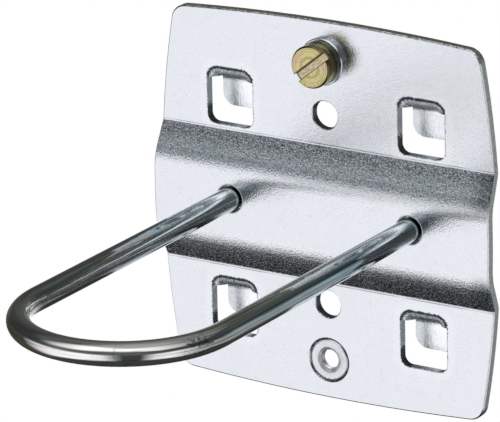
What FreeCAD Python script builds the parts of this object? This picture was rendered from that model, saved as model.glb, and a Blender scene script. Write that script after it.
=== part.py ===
import FreeCAD, Part
import math
import os
import Sketcher

# Wire loop hook on a pressed plate for a perforated panel.
# Frame: +Z up, +X to the right, the front looks along -Y. The plate's back face is the plane y = 0.
# The origin is midway between the two plain holes, in the plane of the wire loop.

# Driving sizes in millimetres and degrees. Each one is a cell of the sheet, under this alias.
SIZES = {
    # plate blank and outline: four shallow arcs that meet in rounded corners
    "sheet_t": 1.55,
    "plate_width": 66.7,
    "plate_height": 67.8,
    "plate_drop": 0.25,
    "side_arc_r": 173.0,
    "end_arc_r": 415.0,
    "corner_r": 3.0,
    "trim_margin": 2.0,
    "rim_bevel": 0.25,
    # pressed rib across the plate, whose foot takes a share of the plate's height
    "rib_height": 2.65,
    "rib_share": 0.3614,
    "rib_flat": 12.6,
    "rib_drop": 0.77,
    "nose_r": 8.0,
    "crease_r": 0.8,
    # windows and the hook tabs lanced out of them, on the panel's pitch
    "panel_pitch": 38.0,
    "tab_drop": 1.5,
    "window_width": 9.15,
    "window_height": 10.3,
    "window_foot_r": 1.6,
    "arch_margin": 0.15,
    "arch_inner_r": 0.25,
    "tab_width": 8.75,
    "tab_gap": 3.2,
    "tab_root_r": 0.55,
    "tab_elbow_r": 1.8,
    "lip_foot": 2.0,
    "lip_corner_r": 2.3,
    # plain holes on the centre line, their distance from its middle as a share of the plate's height
    "plain_hole_r": 2.5,
    "plain_hole_share": 0.25074,
    "hole_bevel": 0.15,
    # wire loop
    "wire_r": 2.09,
    "leg_offset": 17.9,
    "leg_length": 63.3,
    "wire_clearance": 0.35,
    "rivet_r": 3.5,
    "rivet_height": 1.3,
    "rivet_bevel": 0.5,
    # press nuts, their distance from the plate's middle as a share of its height
    "nut_share": 0.3975,
    "nut_shank_r": 3.75,
    "nut_flange_r": 4.5,
    "nut_flange_t": 0.6,
    "nut_core_r": 1.65,
    "nut_mouth_r": 2.35,
    "nut_mouth_depth": 0.35,
    "nut_bevel": 0.15,
    "press_gap": 0.03,
    "groove_width": 0.3,
    # locking screw and its washers
    "screw_head_r": 3.75,
    "screw_head_h": 2.6,
    "screw_head_bevel": 0.3,
    "screw_length": 4.0,
    "thread_gap": 0.05,
    "screw_tip_bevel": 0.4,
    "slot_width": 1.45,
    "slot_depth": 1.1,
    "slot_angle": 39.0,
    "spring_washer_r": 3.85,
    "spring_washer_bore_r": 2.15,
    "spring_washer_t": 1.1,
    "spring_split": 0.5,
    "spring_lead": 0.9,
    "flat_washer_r": 4.15,
    "flat_washer_bore_r": 2.15,
    "flat_washer_t": 0.9,
    "flat_washer_bevel": 0.15,
}

NEAR = 0.01

doc = FreeCAD.newDocument("panel_hook")


def make_sheet():
    """The sheet of driving sizes: names in column A, plain numbers with an alias in column B."""
    sheet = doc.addObject("Spreadsheet::Sheet", "sizes")
    for row, (alias, number) in enumerate(SIZES.items(), start=1):
        sheet.set("A%d" % row, alias)
        sheet.set("B%d" % row, str(number))
        sheet.setAlias("B%d" % row, alias)
    doc.recompute()
    return sheet


SHEET = make_sheet()


def size(expression):
    """The present value of an expression in the sheet's aliases."""
    return float(SHEET.evalExpression(expression))


def of_sheet(expression):
    """The same expression with each alias written as a reference to the sheet."""
    words = []
    word = ""
    for letter in expression + " ":
        if letter.isalnum() or letter == "_":
            word += letter
            continue
        words.append("sizes." + word if word in SIZES else word)
        words.append(letter)
        word = ""
    return "".join(words).strip()


def new_body(name):
    body = doc.addObject("PartDesign::Body", name)
    body.Label = name
    return body


def origin_feature(body, role):
    """An origin plane or axis of the body, such as XY_Plane or Z_Axis."""
    for feature in body.Origin.OriginFeatures:
        if feature.Role == role:
            return feature
    raise ValueError("no origin feature " + role)


def new_sketch(body, name, plane, offset=None):
    """A sketch on one of the body's origin planes, moved along its normal by an expression."""
    sketch = body.newObject("Sketcher::SketchObject", name)
    sketch.AttachmentSupport = [(origin_feature(body, plane), "")]
    sketch.MapMode = "FlatFace"
    if offset:
        sketch.setExpression("AttachmentOffset.Base.z", of_sheet(offset))
    return sketch


def bind(sketch, constraint, expression):
    """Add a dimension and bind it to the sheet."""
    index = sketch.addConstraint(constraint)
    sketch.setExpression("Constraints[%d]" % index, of_sheet(expression))


def pin_point(sketch, edge, point, x, y):
    """Hold a point of the sketch at the coordinates that the two expressions give."""
    for kind, axis, expression in (("DistanceX", -2, x), ("DistanceY", -1, y)):
        if expression == "0":
            sketch.addConstraint(Sketcher.Constraint("PointOnObject", edge, point, axis))
        else:
            held = Sketcher.Constraint(kind, -1, 1, edge, point, size(expression))
            bind(sketch, held, expression)


def corner_arc(before, corner, after, radius):
    """Where a tangent arc leaves the first side and joins the second, and its centre."""
    into = (corner - before).normalize()
    out = (after - corner).normalize()
    turn = into.getAngle(out)
    cut = radius * math.tan(turn / 2)
    left_turn = into.cross(out).z > 0
    inward = FreeCAD.Vector(-into.y, into.x, 0) * (1 if left_turn else -1)
    start = corner - into * cut
    return start, corner + out * cut, start + inward * radius, left_turn


def angle_of(point, centre):
    return math.atan2(point.y - centre.y, point.x - centre.x)


def outline(sketch, corners):
    """A closed loop through corners given as expressions: x, y and, where it is rounded, a radius."""
    count = len(corners)
    points = [FreeCAD.Vector(size(corner[0]), size(corner[1]), 0) for corner in corners]
    arrive = list(points)
    leave = list(points)
    arcs = {}
    for index, corner in enumerate(corners):
        if len(corner) < 3:
            continue
        following = points[(index + 1) % count]
        radius = size(corner[2])
        arrive[index], leave[index], centre, left_turn = corner_arc(
            points[index - 1], points[index], following, radius)
        ends = (arrive[index], leave[index]) if left_turn else (leave[index], arrive[index])
        full = Part.Circle(centre, FreeCAD.Vector(0, 0, 1), radius)
        arc = Part.ArcOfCircle(full, angle_of(ends[0], centre), angle_of(ends[1], centre))
        arcs[index] = (sketch.addGeometry(arc), 1 if left_turn else 2)
    sides = []
    for index in range(count):
        sides.append(sketch.addGeometry(Part.LineSegment(leave[index], arrive[(index + 1) % count])))
    for index, corner in enumerate(corners):
        side_in = sides[index - 1]
        side_out = sides[index]
        if index not in arcs:
            sketch.addConstraint(Sketcher.Constraint("Coincident", side_in, 2, side_out, 1))
            pin_point(sketch, side_out, 1, corner[0], corner[1])
            continue
        arc, first_end = arcs[index]
        meeting = sketch.addGeometry(Part.Point(points[index]), True)
        pin_point(sketch, meeting, 1, corner[0], corner[1])
        sketch.addConstraint(Sketcher.Constraint("PointOnObject", meeting, 1, side_in))
        sketch.addConstraint(Sketcher.Constraint("PointOnObject", meeting, 1, side_out))
        sketch.addConstraint(Sketcher.Constraint("Tangent", side_in, 2, arc, first_end))
        sketch.addConstraint(Sketcher.Constraint("Tangent", arc, 3 - first_end, side_out, 1))
        bind(sketch, Sketcher.Constraint("Radius", arc, size(corner[2])), corner[2])


def circle(sketch, x, y, radius):
    """A circle whose centre and radius are expressions."""
    centre = FreeCAD.Vector(size(x), size(y), 0)
    shape = Part.Circle(centre, FreeCAD.Vector(0, 0, 1), size(radius))
    edge = sketch.addGeometry(shape)
    bind(sketch, Sketcher.Constraint("Radius", edge, size(radius)), radius)
    pin_point(sketch, edge, 3, x, y)
    return edge


def turn_about(sketch, start, end):
    """A construction line, the sketch's own axis for a feature that turns."""
    points = [FreeCAD.Vector(size(x), size(y), 0) for x, y in (start, end)]
    line = sketch.addGeometry(Part.LineSegment(*points), True)
    pin_point(sketch, line, 1, *start)
    pin_point(sketch, line, 2, *end)


def pad(body, name, sketch, length, symmetric=False):
    feature = body.newObject("PartDesign::Pad", name)
    feature.Profile = sketch
    if symmetric:
        feature.SideType = "Symmetric"
    feature.setExpression("Length", of_sheet(length))
    doc.recompute()
    return feature


def pocket(body, name, sketch, depth=None, back_side=False, symmetric=False):
    """A cut through all, both ways, or to a depth on one side or half on each. It must take material away."""
    before = body.Tip.Shape.Volume
    feature = body.newObject("PartDesign::Pocket", name)
    feature.Profile = sketch
    if depth:
        feature.setExpression("Length", of_sheet(depth))
        feature.Reversed = back_side
        if symmetric:
            feature.SideType = "Symmetric"
    else:
        feature.Type = "ThroughAll"
        feature.SideType = "Symmetric"
    doc.recompute()
    if not feature.Shape.Volume < before:
        raise RuntimeError(name + " cuts nothing")
    return feature


def revolution(body, name, sketch, axis):
    feature = body.newObject("PartDesign::Revolution", name)
    feature.Profile = sketch
    feature.ReferenceAxis = axis
    feature.Angle = 360
    doc.recompute()
    return feature


def groove(body, name, sketch, backwards):
    """A cut turned a quarter of the way round the sketch's own axis. It must take material away."""
    before = body.Tip.Shape.Volume
    feature = body.newObject("PartDesign::Groove", name)
    feature.Profile = sketch
    feature.ReferenceAxis = (sketch, ["Axis0"])
    feature.Angle = 90
    feature.Reversed = backwards
    doc.recompute()
    if not feature.Shape.Volume < before:
        raise RuntimeError(name + " cuts nothing")
    return feature


def edge_names(feature, wanted):
    """The names of the feature's edges that pass the test."""
    return ["Edge%d" % number for number, edge in enumerate(feature.Shape.Edges, start=1) if wanted(edge)]


def round_edges(body, name, wanted, radius, count):
    """A fillet on the tip's edges that pass the test. Their number is known beforehand."""
    base = body.Tip
    names = edge_names(base, wanted)
    if len(names) != count:
        raise RuntimeError("%s finds %d edges, not %d" % (name, len(names), count))
    feature = body.newObject("PartDesign::Fillet", name)
    feature.Base = (base, names)
    feature.setExpression("Radius", of_sheet(radius))
    doc.recompute()
    return feature


def bevel_edges(body, name, wanted, width, count):
    """A chamfer on the tip's edges that pass the test. Their number is known beforehand."""
    base = body.Tip
    names = edge_names(base, wanted)
    if len(names) != count:
        raise RuntimeError("%s finds %d edges, not %d" % (name, len(names), count))
    feature = body.newObject("PartDesign::Chamfer", name)
    feature.Base = (base, names)
    feature.setExpression("Size", of_sheet(width))
    doc.recompute()
    return feature


def is_near(a, b):
    return abs(a - b) < NEAR


def runs_along(edge, axis):
    """Whether the edge is a straight line along X (0), Y (1) or Z (2)."""
    if not isinstance(edge.Curve, Part.Line):
        return False
    return is_near(abs(edge.tangentAt(edge.FirstParameter)[axis]), 1)


def is_circle(edge, radius, axis, level):
    """Whether the edge is a full circle of the radius, at a level along an axis."""
    if not isinstance(edge.Curve, Part.Circle) or not edge.isClosed():
        return False
    return is_near(edge.Curve.Radius, size(radius)) and is_near(edge.Curve.Center[axis], size(level))


def turn_to_front(body, y, z):
    """Place a body drawn along its own Z so that this axis points to the front."""
    body.Placement.Rotation = FreeCAD.Rotation(FreeCAD.Vector(1, 0, 0), 90)
    body.setExpression("Placement.Base.y", of_sheet(y))
    body.setExpression("Placement.Base.z", of_sheet(z))


# Back plate

RIB_Z = "(0 - rib_drop)"
RIB_BASE = "(plate_height * rib_share)"
RIB_HALF = RIB_BASE + " / 2"
RIB_FLAT_HALF = "rib_flat / 2"
# A sheet bent through an angle moves its far side's crease along by thickness times the half angle's tangent.
SLOPE = "atan2(rib_height; (" + RIB_BASE + " - rib_flat) / 2)"
MITRE = "sheet_t * tan(" + SLOPE + " / 2)"
PLAIN_HOLE_OFFSET = "(plate_height * plain_hole_share)"
NUT_OFFSET = "(plate_height * nut_share)"


def plate_profile(body):
    """Side view of the ribbed sheet in the YZ plane. The sheet keeps its thickness round each bend."""
    sketch = new_sketch(body, "plate_profile", "YZ_Plane")
    front = "0 - sheet_t"
    nose = "0 - sheet_t - rib_height"
    hollow = "0 - rib_height"
    top = "plate_height / 2 - plate_drop + trim_margin"
    foot = "0 - plate_height / 2 - plate_drop - trim_margin"
    outline(sketch, [
        (front, top),
        (front, RIB_Z + " + " + RIB_HALF, "crease_r"),
        (nose, RIB_Z + " + " + RIB_FLAT_HALF, "nose_r + sheet_t"),
        (nose, RIB_Z + " - " + RIB_FLAT_HALF, "nose_r + sheet_t"),
        (front, RIB_Z + " - " + RIB_HALF, "crease_r"),
        (front, foot),
        ("0", foot),
        ("0", RIB_Z + " - " + RIB_HALF + " + " + MITRE, "crease_r + sheet_t"),
        (hollow, RIB_Z + " - " + RIB_FLAT_HALF + " + " + MITRE, "nose_r"),
        (hollow, RIB_Z + " + " + RIB_FLAT_HALF + " - " + MITRE, "nose_r"),
        ("0", RIB_Z + " + " + RIB_HALF + " - " + MITRE, "crease_r + sheet_t"),
        ("0", top),
    ])
    return sketch


def outline_corner():
    """Where the side arc meets the end arc, as offsets from the plate's middle."""
    side_centre = size("plate_width / 2 - side_arc_r")
    end_centre = size("plate_height / 2 - end_arc_r")
    x = size("plate_width / 2")
    z = size("plate_height / 2")
    for _ in range(40):
        x = side_centre + math.sqrt(size("side_arc_r") ** 2 - z ** 2)
        z = end_centre + math.sqrt(size("end_arc_r") ** 2 - x ** 2)
    return x, z


def plate_outline(body):
    """The waste round the plate: a rectangle with the plate's own outline of four arcs inside it."""
    sketch = new_sketch(body, "plate_outline", "XZ_Plane")
    half_width = "(plate_width / 2 + 2 * trim_margin)"
    half_height = "(plate_height / 2 + 2 * trim_margin)"
    outline(sketch, [
        ("0 - " + half_width, "0 - plate_drop - " + half_height),
        (half_width, "0 - plate_drop - " + half_height),
        (half_width, "0 - plate_drop + " + half_height),
        ("0 - " + half_width, "0 - plate_drop + " + half_height),
    ])
    corner_x, corner_z = outline_corner()
    middle = size("0 - plate_drop")
    side_turn = math.asin(corner_z / size("side_arc_r"))
    end_turn = math.asin(corner_x / size("end_arc_r"))
    side_x = "(plate_width / 2 - side_arc_r)"
    end_z = "(plate_height / 2 - end_arc_r)"
    arcs = (
        (side_x, "0 - plate_drop", "side_arc_r", 0.0, side_turn),
        ("0", "0 - plate_drop + " + end_z, "end_arc_r", math.pi / 2, end_turn),
        ("0 - " + side_x, "0 - plate_drop", "side_arc_r", math.pi, side_turn),
        ("0", "0 - plate_drop - " + end_z, "end_arc_r", 3 * math.pi / 2, end_turn),
    )
    edges = []
    for x, y, radius, facing, turn in arcs:
        centre = FreeCAD.Vector(size(x), size(y), 0)
        full = Part.Circle(centre, FreeCAD.Vector(0, 0, 1), size(radius))
        edges.append(sketch.addGeometry(Part.ArcOfCircle(full, facing - turn, facing + turn)))
    for index, edge in enumerate(edges):
        following = edges[(index + 1) % len(edges)]
        sketch.addConstraint(Sketcher.Constraint("Coincident", edge, 2, following, 1))
    for edge, (x, y, radius, facing, turn) in zip(edges, arcs):
        bind(sketch, Sketcher.Constraint("Radius", edge, size(radius)), radius)
        pin_point(sketch, edge, 3, x, y)
    return sketch, (corner_x, corner_z + middle)


def trim_plate(body):
    """Cut the blank to its outline, round its four corners and bevel the front rim all the way round."""
    sketch, (corner_x, corner_z) = plate_outline(body)
    pocket(body, "trimmed_outline", sketch)
    low_z = size("0 - 2 * plate_drop") - corner_z

    def at_corner(edge):
        point = edge.Vertexes[0].Point
        high_or_low = is_near(point.z, corner_z) or is_near(point.z, low_z)
        return runs_along(edge, 1) and is_near(abs(point.x), corner_x) and high_or_low
    round_edges(body, "plate_corners", at_corner, "corner_r", 4)

    def at_top_front(edge):
        on_arc = isinstance(edge.Curve, Part.Circle) and is_near(edge.Curve.Radius, size("end_arc_r"))
        point = edge.Vertexes[0].Point
        return on_arc and is_near(point.y, size("0 - sheet_t")) and point.z > 0
    bevel_edges(body, "front_rim", at_top_front, "rim_bevel", 1)


WINDOW_X = "(panel_pitch / 2)"
WINDOW_TOP = "(window_height / 2 - tab_drop + panel_pitch / 2)"
WINDOW_FOOT = "(panel_pitch / 2 - tab_drop - window_height / 2)"
# The tab's bend starts at the window's top and ends at the level of the tab's underside.
BEND = "(tab_root_r + sheet_t)"
TAB_UNDER = "(" + WINDOW_TOP + " - " + BEND + ")"
ARCH_HALF = "(window_width / 2 + arch_margin)"


def both_ways(body, name, *features):
    """Repeat features of the upper right tab on the panel's pitch, to the left and down."""
    pattern = body.newObject("PartDesign::LinearPattern", name)
    pattern.Originals = list(features)
    pattern.Direction = (origin_feature(body, "X_Axis"), [""])
    pattern.Direction2 = (origin_feature(body, "Z_Axis"), [""])
    pattern.Reversed = True
    pattern.Reversed2 = True
    pattern.Occurrences = 2
    pattern.Occurrences2 = 2
    pattern.setExpression("Length", of_sheet("panel_pitch"))
    pattern.setExpression("Length2", of_sheet("panel_pitch"))
    body.Tip = pattern
    doc.recompute()
    return pattern


def cut_windows(body):
    """The four windows that the tabs are lanced from, up to the level of the tabs' undersides."""
    sketch = new_sketch(body, "window", "XZ_Plane")
    left = WINDOW_X + " - window_width / 2"
    right = WINDOW_X + " + window_width / 2"
    outline(sketch, [
        (left, WINDOW_FOOT, "window_foot_r"),
        (right, WINDOW_FOOT, "window_foot_r"),
        (right, TAB_UNDER),
        (left, TAB_UNDER),
    ])
    both_ways(body, "windows", pocket(body, "window_cut", sketch))


def raise_tabs(body):
    """The hook tabs: each runs back from the top of its window, then down behind the panel."""
    sketch = new_sketch(body, "tab_profile", "YZ_Plane", WINDOW_X)
    root = WINDOW_TOP + " + sheet_t"
    foot = WINDOW_FOOT + " + lip_foot"
    outline(sketch, [
        ("0 - sheet_t", TAB_UNDER),
        ("tab_gap", TAB_UNDER, "tab_elbow_r"),
        ("tab_gap", foot),
        ("tab_gap + sheet_t", foot),
        ("tab_gap + sheet_t", TAB_UNDER + " + sheet_t", "tab_elbow_r + sheet_t"),
        ("0", TAB_UNDER + " + sheet_t", "tab_root_r"),
        ("0", root),
        ("0 - sheet_t", root),
    ])
    both_ways(body, "tabs", pad(body, "tab", sketch, "tab_width", symmetric=True))

    def at_lip_corner(edge):
        point = edge.Vertexes[0].Point
        column = abs(abs(point.x) - size(WINDOW_X))
        row = is_near(point.z, size(foot)) or is_near(point.z, size(foot + " - panel_pitch"))
        return runs_along(edge, 1) and is_near(column, size("tab_width / 2")) and row
    round_edges(body, "lip_corners", at_lip_corner, "lip_corner_r", 8)


def bend_waste(sketch, rim, inward, place):
    """The waste in front of a bend. It starts at the rim and has turned square to the front further inward.

    inward is the sign of that direction. place gives a point of the sketch from its depth behind the front
    and its distance along the front.
    """
    outward = " + " if inward == " - " else " - "
    outside = "0 - sheet_t - trim_margin"
    deep = "tab_root_r + arch_inner_r"
    beyond = rim + outward + "arch_inner_r"
    turned = rim + inward + BEND
    past = turned + inward + "arch_inner_r / 2"
    outline(sketch, [
        place(outside, past),
        place(outside, beyond),
        place("0 - sheet_t", beyond),
        place("0 - sheet_t", turned) + (BEND,),
        place(deep, turned),
        place(deep, past),
    ])


def round_arches(body):
    """Draw the sheet in over each tab: a bend along the window's top that turns its two upper corners."""
    straight = new_sketch(body, "bend_straight", "YZ_Plane", WINDOW_X)
    bend_waste(straight, WINDOW_TOP, " - ", lambda depth, along: (depth, along))
    centre_half = "(" + ARCH_HALF + " - " + BEND + " - arch_inner_r)"
    cuts = [pocket(body, "bend_straight_cut", straight, "2 * " + centre_half, symmetric=True)]
    for name, outward, inward in (("left", " - ", " + "), ("right", " + ", " - ")):
        sketch = new_sketch(body, "bend_" + name, "XY_Plane", TAB_UNDER + " - arch_inner_r")
        bend_waste(sketch, WINDOW_X + outward + ARCH_HALF, inward, lambda depth, along: (along, depth))
        centre = WINDOW_X + outward + centre_half
        turn_about(sketch, (centre, "0 - sheet_t"), (centre, "tab_root_r"))
        cuts.append(groove(body, "bend_%s_cut" % name, sketch, name == "right"))
    both_ways(body, "tab_bends", *cuts)


def pierce_plate(body):
    """The round holes: plain ones, those for the wire and those for the press nuts."""
    plain = new_sketch(body, "plain_holes", "XZ_Plane")
    wire = new_sketch(body, "wire_holes", "XZ_Plane")
    nuts = new_sketch(body, "nut_holes", "XZ_Plane")
    seats = new_sketch(body, "nut_seats", "XZ_Plane")
    for sign in ("", "0 - "):
        circle(plain, "0", sign + PLAIN_HOLE_OFFSET, "plain_hole_r")
        circle(wire, sign + "leg_offset", "0", "wire_r + wire_clearance")
        nut_z = "0 - plate_drop + (" + sign + NUT_OFFSET + ")"
        circle(nuts, "0", nut_z, "nut_shank_r + press_gap")
        circle(seats, "0", nut_z, "nut_flange_r + press_gap")
    pocket(body, "plain_hole_cut", plain)
    pocket(body, "wire_hole_cut", wire)
    pocket(body, "nut_hole_cut", nuts)
    pocket(body, "nut_seat_cut", seats, "nut_flange_t", back_side=True)

    def at_nut_mouth(edge):
        return is_circle(edge, "nut_shank_r + press_gap", 1, "0 - sheet_t")
    bevel_edges(body, "nut_grooves", at_nut_mouth, "groove_width", 2)

    def at_front_of_hole(edge):
        plain_hole = is_circle(edge, "plain_hole_r", 1, "0 - sheet_t")
        return plain_hole or is_circle(edge, "wire_r + wire_clearance", 1, "0 - sheet_t - rib_height")
    bevel_edges(body, "hole_bevels", at_front_of_hole, "hole_bevel", 4)


def make_back_plate():
    body = new_body("back_plate")
    blank_width = "plate_width + 2 * trim_margin"
    pad(body, "ribbed_blank", plate_profile(body), blank_width, symmetric=True)
    trim_plate(body)
    cut_windows(body)
    raise_tabs(body)
    round_arches(body)
    pierce_plate(body)
    return body


# Wire loop

def make_wire_loop():
    """One wire bent to a U, its ends riveted over behind the rib."""
    body = new_body("wire_loop")
    path = new_sketch(body, "wire_path", "XY_Plane")
    leg = size("leg_offset")
    inner_end = "0 - rib_height + rivet_height / 2"
    bend_y = "0 - leg_length"
    left = Part.LineSegment(FreeCAD.Vector(-leg, size(inner_end), 0), FreeCAD.Vector(-leg, size(bend_y), 0))
    full = Part.Circle(FreeCAD.Vector(0, size(bend_y), 0), FreeCAD.Vector(0, 0, 1), leg)
    right = Part.LineSegment(FreeCAD.Vector(leg, size(bend_y), 0), FreeCAD.Vector(leg, size(inner_end), 0))
    left_leg = path.addGeometry(left)
    bend = path.addGeometry(Part.ArcOfCircle(full, math.pi, 2 * math.pi))
    right_leg = path.addGeometry(right)
    path.addConstraint(Sketcher.Constraint("Tangent", left_leg, 2, bend, 1))
    path.addConstraint(Sketcher.Constraint("Tangent", bend, 2, right_leg, 1))
    path.addConstraint(Sketcher.Constraint("Vertical", left_leg))
    pin_point(path, left_leg, 1, "0 - leg_offset", inner_end)
    pin_point(path, right_leg, 2, "leg_offset", inner_end)
    bind(path, Sketcher.Constraint("DistanceY", bend, 3, -1, 1, size("leg_length")), "leg_length")

    section = new_sketch(body, "wire_section", "XZ_Plane", "0 - (" + inner_end + ")")
    circle(section, "0 - leg_offset", "0", "wire_r")
    wire = body.newObject("PartDesign::AdditivePipe", "wire")
    wire.Profile = section
    wire.Spine = (path, ["Edge%d" % number for number in (1, 2, 3)])
    doc.recompute()

    rivet = new_sketch(body, "rivet_profile", "XY_Plane")
    edge_x = "0 - leg_offset - rivet_r"
    seat = "0 - rib_height"
    crown = "0 - rib_height + rivet_height"
    outline(rivet, [
        ("0 - leg_offset", seat),
        ("0 - leg_offset", crown),
        (edge_x + " + rivet_bevel", crown),
        (edge_x, crown + " - rivet_bevel"),
        (edge_x, seat),
    ])
    axis = (rivet, ["Edge1"])
    head = revolution(body, "rivet_head", rivet, axis)
    mirrored = body.newObject("PartDesign::Mirrored", "rivet_heads")
    mirrored.Originals = [head]
    mirrored.MirrorPlane = (origin_feature(body, "YZ_Plane"), [""])
    body.Tip = mirrored
    doc.recompute()
    return body


# Press nuts

def make_press_nut(name, side):
    """A flanged bush pressed in from the back, flush with both faces of the sheet."""
    body = new_body(name)
    sketch = new_sketch(body, name + "_profile", "XZ_Plane")
    outline(sketch, [
        ("nut_core_r", "nut_bevel"),
        ("nut_core_r + nut_bevel", "0"),
        ("nut_flange_r", "0"),
        ("nut_flange_r", "nut_flange_t"),
        ("nut_shank_r", "nut_flange_t"),
        ("nut_shank_r", "sheet_t - nut_bevel"),
        ("nut_shank_r - nut_bevel", "sheet_t"),
        ("nut_mouth_r", "sheet_t"),
        ("nut_core_r", "sheet_t - nut_mouth_depth"),
    ])
    revolution(body, name + "_bush", sketch, (origin_feature(body, "Z_Axis"), [""]))
    turn_to_front(body, "0", "0 - plate_drop + (" + side + NUT_OFFSET + ")")
    return body


# Locking screw and washers, on the axis of the upper press nut

NUT_Z = "0 - plate_drop + " + NUT_OFFSET


def make_locking_screw():
    """Slotted cheese-head screw, drawn along its own Z with the head's seat at zero."""
    body = new_body("locking_screw")
    sketch = new_sketch(body, "screw_profile", "XZ_Plane")
    core = "(nut_core_r - thread_gap)"
    outline(sketch, [
        ("0", "screw_head_h"),
        ("screw_head_r", "screw_head_h"),
        ("screw_head_r", "0"),
        (core, "0"),
        (core, "0 - screw_length + screw_tip_bevel"),
        (core + " - screw_tip_bevel", "0 - screw_length"),
        ("0", "0 - screw_length"),
    ])
    revolution(body, "screw_turned", sketch, (origin_feature(body, "Z_Axis"), [""]))

    def at_head_rim(edge):
        return is_circle(edge, "screw_head_r", 2, "screw_head_h")
    bevel_edges(body, "head_rim", at_head_rim, "screw_head_bevel", 1)

    slot = new_sketch(body, "slot_outline", "XY_Plane", "screw_head_h")
    slot.setExpression("AttachmentOffset.Rotation.Angle", of_sheet("slot_angle"))
    reach = "2 * screw_head_r"
    half = "slot_width / 2"
    outline(slot, [
        ("0 - " + reach, "0 - " + half),
        (reach, "0 - " + half),
        (reach, half),
        ("0 - " + reach, half),
    ])
    pocket(body, "driver_slot", slot, "slot_depth")
    turn_to_front(body, "0 - sheet_t - flat_washer_t - spring_washer_t", NUT_Z)
    return body


def make_washer(name, outer, bore, thickness):
    """A flat ring, drawn along its own Z from zero."""
    body = new_body(name)
    sketch = new_sketch(body, name + "_outline", "XY_Plane")
    circle(sketch, "0", "0", outer)
    circle(sketch, "0", "0", bore)
    pad(body, name + "_ring", sketch, thickness)
    return body


def make_spring_washer():
    """A split ring, pressed flat by the screw, with its slanting split on the left."""
    body = make_washer("spring_washer", "spring_washer_r", "spring_washer_bore_r", "spring_washer_t")
    split = new_sketch(body, "split_outline", "YZ_Plane")
    lean = "spring_lead / 2"
    gap = "spring_split / 2"
    outline(split, [
        ("0 - " + lean + " - " + gap, "0"),
        ("0 - " + lean + " + " + gap, "0"),
        (lean + " + " + gap, "spring_washer_t"),
        (lean + " - " + gap, "spring_washer_t"),
    ])
    pocket(body, "split", split, "2 * spring_washer_r")
    turn_to_front(body, "0 - sheet_t - flat_washer_t", NUT_Z)
    return body


def make_flat_washer():
    """The plain washer that lies on the plate."""
    body = make_washer("flat_washer", "flat_washer_r", "flat_washer_bore_r", "flat_washer_t")

    def at_front_rim(edge):
        return is_circle(edge, "flat_washer_r", 2, "flat_washer_t")
    bevel_edges(body, "flat_washer_rim", at_front_rim, "flat_washer_bevel", 1)
    turn_to_front(body, "0 - sheet_t", NUT_Z)
    return body


def check(bodies):
    """Every object is up to date and every sub-part is one valid solid."""
    for item in doc.Objects:
        if "Invalid" in item.State or "Error" in item.State:
            raise RuntimeError(item.Name + " failed")
    for body in bodies:
        shape = body.Shape
        if shape.isNull() or not shape.isValid() or len(shape.Solids) != 1:
            raise RuntimeError(body.Label + " is not one valid solid")


bodies = [
    make_back_plate(),
    make_wire_loop(),
    make_press_nut("upper_press_nut", ""),
    make_press_nut("lower_press_nut", "0 - "),
    make_locking_screw(),
    make_spring_washer(),
    make_flat_washer(),
]
doc.recompute()
check(bodies)

os.makedirs("parts", exist_ok=True)
for body in bodies:
    body.Shape.exportStep(os.path.join("parts", body.Label + ".step"))
    box = body.Shape.BoundBox
    print("%-16s volume %9.2f  x %7.2f %7.2f  y %7.2f %7.2f  z %7.2f %7.2f" % (
        body.Label, body.Shape.Volume, box.XMin, box.XMax, box.YMin, box.YMax, box.ZMin, box.ZMax))
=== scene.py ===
import math

import bpy
from mathutils import Matrix, Vector


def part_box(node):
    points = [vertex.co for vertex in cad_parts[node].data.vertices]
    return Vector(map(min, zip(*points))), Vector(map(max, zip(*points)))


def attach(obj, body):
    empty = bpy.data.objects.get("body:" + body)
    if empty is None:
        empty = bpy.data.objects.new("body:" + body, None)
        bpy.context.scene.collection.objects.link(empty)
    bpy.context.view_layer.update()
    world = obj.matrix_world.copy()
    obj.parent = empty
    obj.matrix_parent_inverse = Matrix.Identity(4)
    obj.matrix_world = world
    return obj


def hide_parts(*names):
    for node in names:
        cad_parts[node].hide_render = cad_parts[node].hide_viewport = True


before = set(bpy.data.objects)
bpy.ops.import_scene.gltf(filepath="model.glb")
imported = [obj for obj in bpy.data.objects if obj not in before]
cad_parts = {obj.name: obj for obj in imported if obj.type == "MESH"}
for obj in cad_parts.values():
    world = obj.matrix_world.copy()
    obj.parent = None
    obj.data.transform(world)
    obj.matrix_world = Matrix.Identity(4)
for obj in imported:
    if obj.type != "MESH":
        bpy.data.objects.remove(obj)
scene = bpy.context.scene
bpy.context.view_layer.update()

MM = 0.001

# Sizes that the scene shares with the CAD solids, in metres

FRONT_Y = -1.55 * MM
RIB_Z = -0.77 * MM
CREASE = 12.55 * MM
PLAIN_HOLE_Z = 17.0 * MM
WIRE_X = 17.9 * MM
BEND_Y = 63.3 * MM

# The windows repeat with the panel's pitch, and WINDOW_MIDDLE lies halfway between their rows.
# Their corners are arcs: a centre's place from the window's middle, and a radius.
PANEL_PITCH = 38.0 * MM
WINDOW_MIDDLE = -1.5 * MM
ARCH_SIDE = 2.375 * MM
ARCH_LEVEL = 2.8 * MM
ARCH_R = 2.35 * MM
FOOT_SIDE = 2.975 * MM
FOOT_LEVEL = 3.55 * MM
FOOT_R = 1.6 * MM

NUT_CORE_R = 1.65 * MM
NUT_SHANK_R = 3.75 * MM
NUT_FLANGE_R = 4.5 * MM
NUT_FLANGE_T = 0.6 * MM
NUT_MOUTH_R = 2.35 * MM
NUT_MOUTH_DEPTH = 0.35 * MM
NUT_BEVEL = 0.15 * MM

SCREW_CORE_R = 1.6 * MM
SCREW_POINT = 0.4 * MM
SCREW_RIM_R = 3.62 * MM
SLOT_ANGLE = math.radians(39.0)
SLOT_HALF = 0.725 * MM

# The thread is flat at its root and at its crest over THREAD_FLAT of the pitch
THREAD_PITCH = 0.7 * MM
THREAD_HEIGHT = 0.33 * MM
THREAD_FLAT = 0.125

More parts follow.
